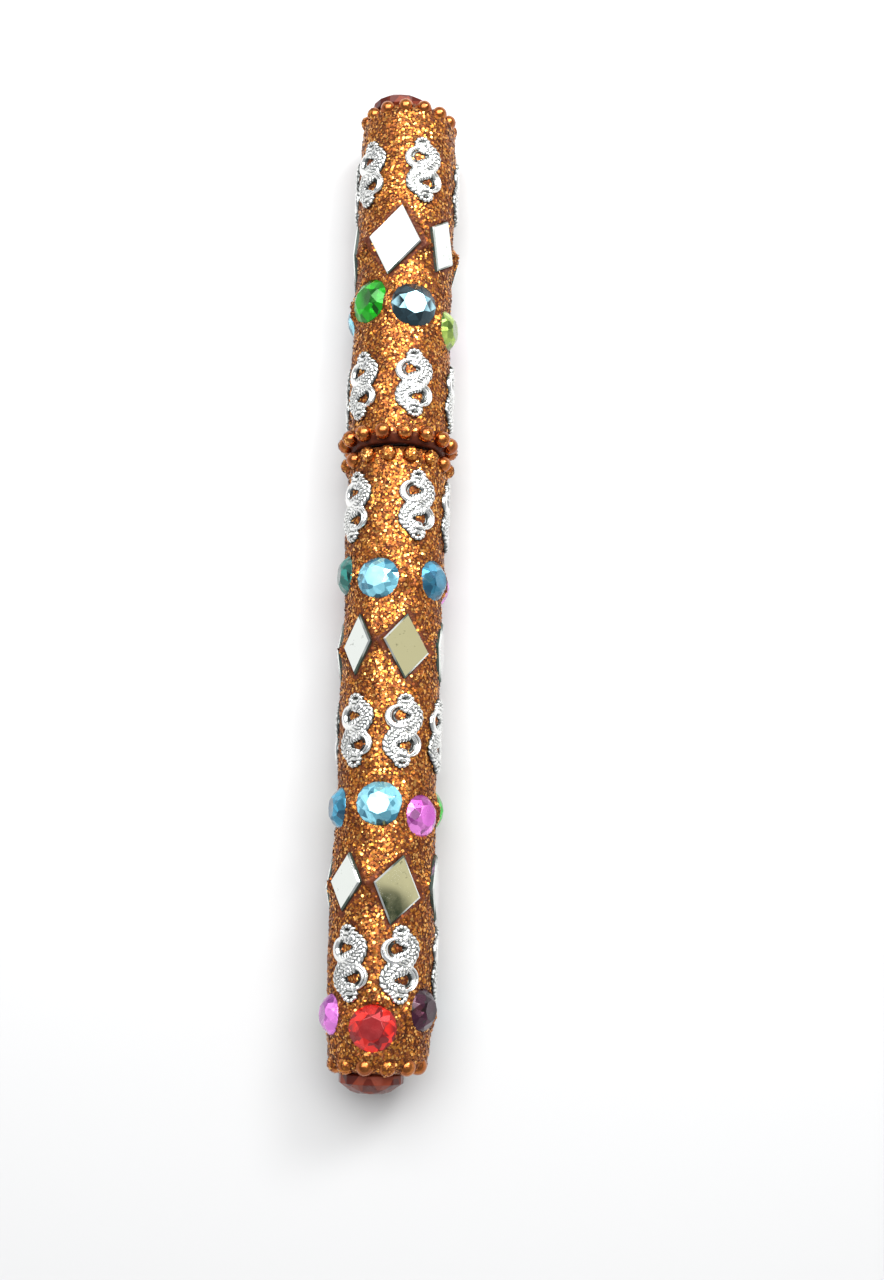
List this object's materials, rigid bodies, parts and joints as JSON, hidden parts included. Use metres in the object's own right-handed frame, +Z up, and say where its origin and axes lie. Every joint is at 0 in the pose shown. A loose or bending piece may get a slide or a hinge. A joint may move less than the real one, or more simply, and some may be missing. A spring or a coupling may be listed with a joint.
{
  "type": "capped ballpoint pen",
  "caption": "Capped ballpoint pen in a hand-rolled lac shell covered in glitter, with faceted stones, diamond mirrors, scroll plates and bead rings.",
  "frame": {"origin": "on the surface the pen lies on, under the middle of its length and under its axis", "axes": "+Y along the pen from the tail stone towards the cap's end stone, +Z up"},
  "size_m": [0.0179, 0.15, 0.0178],
  "materials": {
    "glitter_lac": "copper glitter bedded in lac, rough and sparkling",
    "mirror_glass": "polished, silvered back",
    "scroll_chrome": "bright plated",
    "tube_plastic": "moulded white",
    "stone_green": "polished, cut, foiled back",
    "stone_slate": "polished, cut, foiled back",
    "stone_olive": "polished, cut, foiled back",
    "stone_pink": "polished, cut, foiled back",
    "stone_red": "polished, cut, foiled back",
    "stone_sky": "polished, cut, foiled back",
    "bead_bronze": "glossy pearl coating",
    "end_stone": "polished, cut",
    "stone_lilac": "polished, cut, foiled back",
    "stone_plum": "polished, cut, foiled back",
    "stone_azure": "polished, cut, foiled back",
    "nose_plastic": "moulded black",
    "ball_steel": "polished",
    "ink": "blue ink column",
    "point_brass": "turned",
    "socket_plastic": "moulded",
    "refill_plastic": "translucent tube",
    "stone_teal": "polished, cut, foiled back"
  },
  "bodies": {
    "barrel": {"barrel_lac": "glitter_lac", "barrel_mirrors_lower": "mirror_glass", "barrel_mirrors_upper": "mirror_glass", "barrel_scrolls_lower": "scroll_chrome", "barrel_scrolls_middle": "scroll_chrome", "barrel_scrolls_upper": "scroll_chrome", "barrel_tube": "tube_plastic", "joint_beads": "bead_bronze", "lower_stone_1_lilac": "stone_lilac", "lower_stone_2_red": "stone_red", "lower_stone_3_plum": "stone_plum", "lower_stone_4_sky": "stone_sky", "lower_stone_5_pink": "stone_pink", "lower_stone_6_green": "stone_green", "middle_stone_1_azure": "stone_azure", "middle_stone_2_sky": "stone_sky", "middle_stone_3_pink": "stone_pink", "middle_stone_4_green": "stone_green", "middle_stone_5_red": "stone_red", "middle_stone_6_olive": "stone_olive", "tail_beads": "bead_bronze", "tail_plug": "tube_plastic", "tail_stone": "end_stone", "upper_stone_1_teal": "stone_teal", "upper_stone_2_sky": "stone_sky", "upper_stone_3_azure": "stone_azure", "upper_stone_4_lilac": "stone_lilac", "upper_stone_5_green": "stone_green", "upper_stone_6_red": "stone_red"},
    "refill": {"refill_ink": "ink", "refill_point": "point_brass", "refill_socket": "socket_plastic", "refill_tube": "refill_plastic"},
    "ball": {"point_ball": "ball_steel"},
    "section": {"nose_section": "nose_plastic"},
    "cap": {"cap_lac": "glitter_lac", "cap_mirrors": "mirror_glass", "cap_scrolls_lower": "scroll_chrome", "cap_scrolls_upper": "scroll_chrome", "cap_stone_1_green": "stone_green", "cap_stone_2_slate": "stone_slate", "cap_stone_3_olive": "stone_olive", "cap_stone_4_pink": "stone_pink", "cap_stone_5_red": "stone_red", "cap_stone_6_sky": "stone_sky", "cap_tube": "tube_plastic", "crown_beads": "bead_bronze", "crown_stone": "end_stone", "mouth_beads": "bead_bronze"}
  },
  "joints": [
    {"name": "refill_draw", "type": "slide", "parent": "barrel", "child": "refill", "axis": [0, 1, 0], "range_m": [0, 0.11]},
    {"name": "section_pull", "type": "slide", "parent": "refill", "child": "section", "axis": [0, 1, 0], "range_m": [0, 0.035]},
    {"name": "cap_pull", "type": "slide", "parent": "section", "child": "cap", "axis": [0, 1, 0], "range_m": [0, 0.055]},
    {"name": "ball_roll", "type": "hinge", "parent": "refill", "child": "ball", "pos_m": [0, 0.0558, 0.00888], "axis": [1, 0, 0], "continuous": true}
  ]
}
